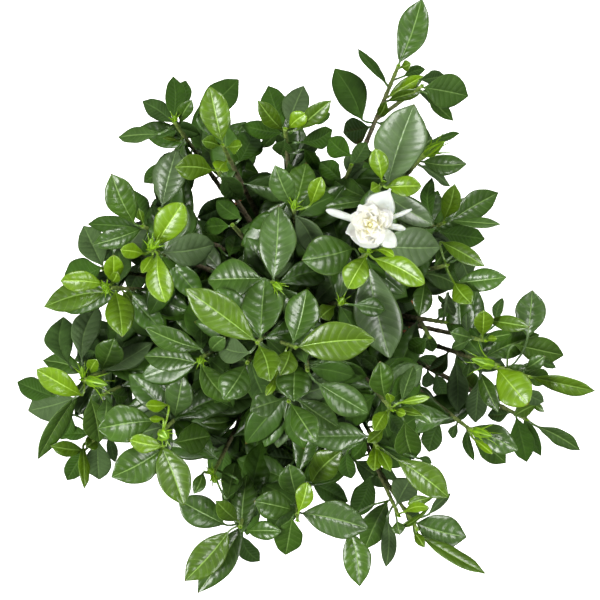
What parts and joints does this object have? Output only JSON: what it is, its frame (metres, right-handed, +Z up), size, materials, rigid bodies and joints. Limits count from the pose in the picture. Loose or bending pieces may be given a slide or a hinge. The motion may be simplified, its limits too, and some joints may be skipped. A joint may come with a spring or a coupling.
{
  "type": "potted shrub",
  "caption": "Bushy evergreen shrub in a plain tapered clay pot, with glossy ribbed leaves in whorls, pale young shoot tips, green buds and an open double white flower.",
  "frame": {"origin": "middle of the pot's flat bottom", "axes": "+Z up out of the pot; +X is the right side and +Y the top side of the plant as seen in the picture, which looks straight down"},
  "size_m": [0.464, 0.4675, 0.4459],
  "materials": {
    "terracotta": "matte",
    "potting_soil": "matte",
    "bark": "matte",
    "leaf": "satin",
    "young_leaf": "satin",
    "petal": "matte"
  },
  "bodies": {
    "root": {"pot": "terracotta", "soil": "potting_soil", "wood_1": "bark", "wood_2": "bark", "wood_3": "bark", "wood_4": "bark", "flower_petals": "petal", "shoot_crown": "leaf", "shoot_crown_low": "leaf", "shoot_flower": "leaf", "young_flower": "young_leaf", "shoot_w_whorl": "leaf", "young_w_whorl": "young_leaf", "shoot_sw_whorl": "leaf", "young_sw_whorl": "young_leaf", "shoot_middle": "leaf", "shoot_w_lime": "leaf", "young_w_lime": "young_leaf", "shoot_nnw_light": "leaf", "shoot_ne_long": "leaf", "shoot_ne_whorl": "leaf", "young_ne_whorl": "young_leaf", "shoot_n_inner": "leaf", "shoot_n_rim": "leaf", "shoot_nw_rim": "leaf", "shoot_nnw_inner": "leaf", "shoot_nw_grey": "leaf", "shoot_wnw": "leaf", "shoot_w_far": "leaf", "shoot_wsw_far": "leaf", "young_wsw_far": "young_leaf", "shoot_wsw_low": "leaf", "shoot_sw_far": "leaf", "shoot_w_inner": "leaf", "shoot_sw_inner": "leaf", "shoot_s_inner": "leaf", "shoot_e_core": "leaf", "shoot_nne_low": "leaf", "shoot_ne_bud": "leaf", "shoot_ene": "leaf", "shoot_e_upper": "leaf", "shoot_e_twigs": "leaf", "shoot_e_lime": "leaf", "young_e_lime": "young_leaf", "shoot_e_far": "leaf", "young_e_far": "young_leaf", "shoot_ese_far": "leaf", "shoot_ese_whorl": "leaf", "young_ese_whorl": "young_leaf", "shoot_se_lime": "leaf", "young_se_lime": "young_leaf", "shoot_se_inner": "leaf", "shoot_se_far": "leaf", "young_se_far": "young_leaf", "shoot_s_rim": "leaf", "young_s_rim": "young_leaf", "shoot_ssw_rim": "leaf", "shoot_ssw_buds": "leaf", "shoot_nw_core": "leaf"}
  },
  "joints": []
}
